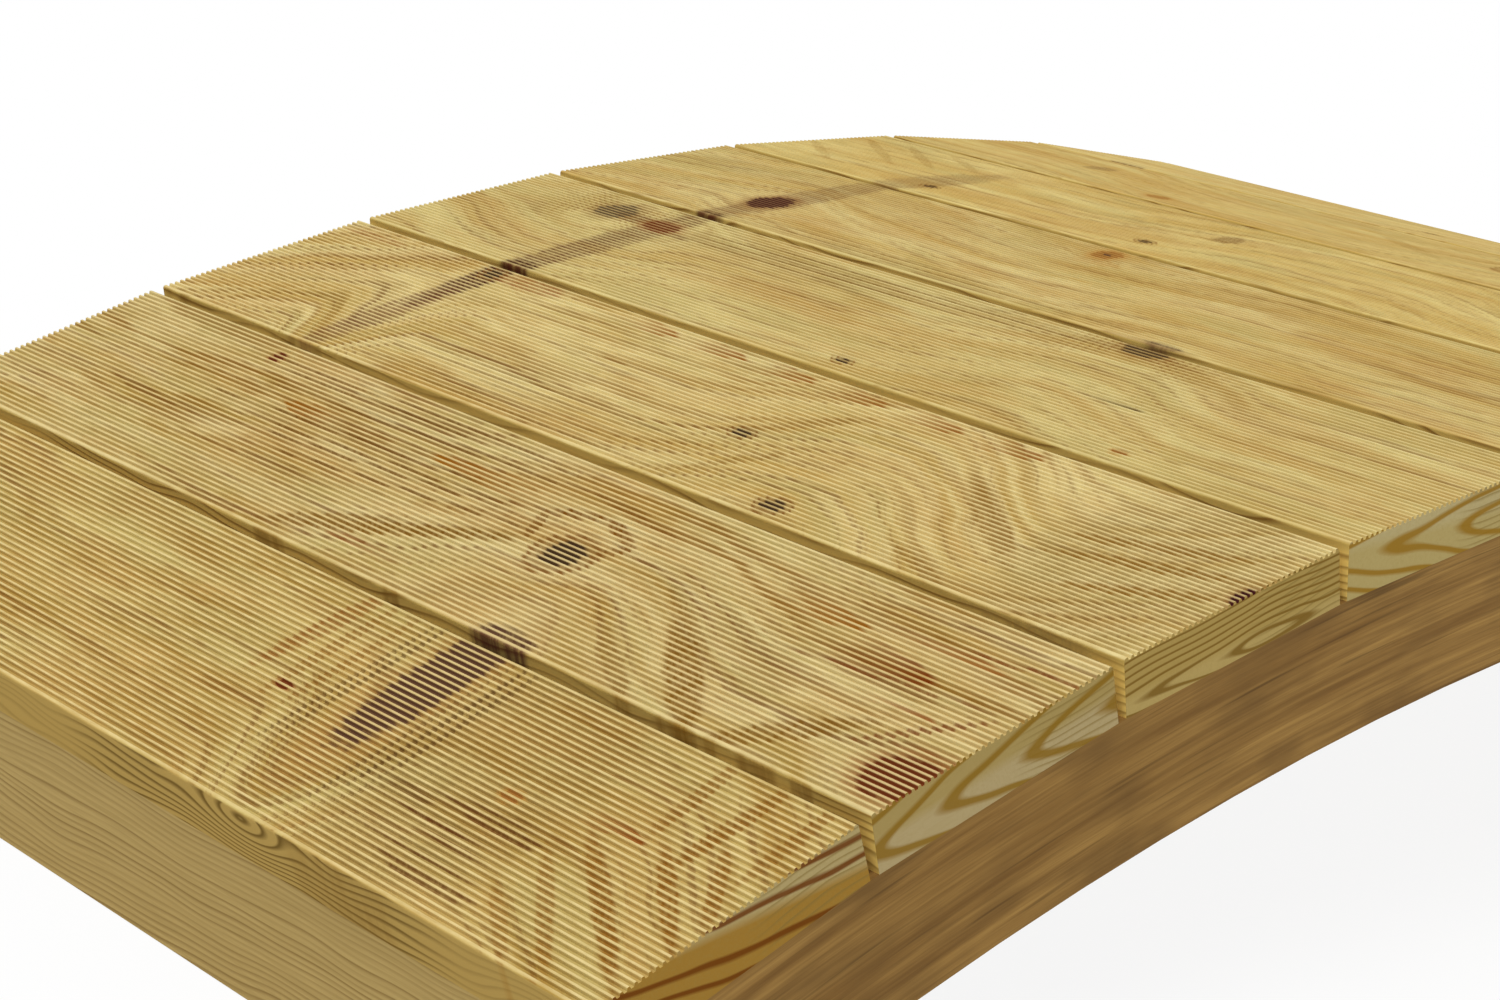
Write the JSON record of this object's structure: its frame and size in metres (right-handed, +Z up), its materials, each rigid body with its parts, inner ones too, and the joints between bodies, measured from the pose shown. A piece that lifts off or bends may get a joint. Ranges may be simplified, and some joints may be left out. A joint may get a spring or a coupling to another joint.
{
  "type": "arched wooden garden bridge",
  "caption": "Low arched footbridge of ribbed deck boards laid across curved side beams, with an upright board closing each end, for crossing a garden stream or dry bed.",
  "frame": {"origin": "on the ground, under the middle of the deck", "axes": "+X along the bridge to its far end, +Y across it to the left, +Z up"},
  "size_m": [1.7004, 0.75, 0.2779],
  "materials": {
    "deck_pine": "ribbed, pressure-treated pine, pale yellow with knots",
    "beam_pine": "sawn and planed pine, brown, grain along the arch",
    "end_pine": "planed pine, olive beige, fine grain"
  },
  "bodies": {
    "root": {"deck_board_01": "deck_pine", "deck_board_02": "deck_pine", "deck_board_03": "deck_pine", "deck_board_04": "deck_pine", "deck_board_05": "deck_pine", "deck_board_06": "deck_pine", "deck_board_07": "deck_pine", "deck_board_08": "deck_pine", "deck_board_09": "deck_pine", "deck_board_10": "deck_pine", "deck_board_11": "deck_pine", "deck_board_12": "deck_pine", "side_beam_left": "beam_pine", "side_beam_right": "beam_pine", "end_board_near": "end_pine", "end_board_far": "end_pine"}
  },
  "joints": []
}
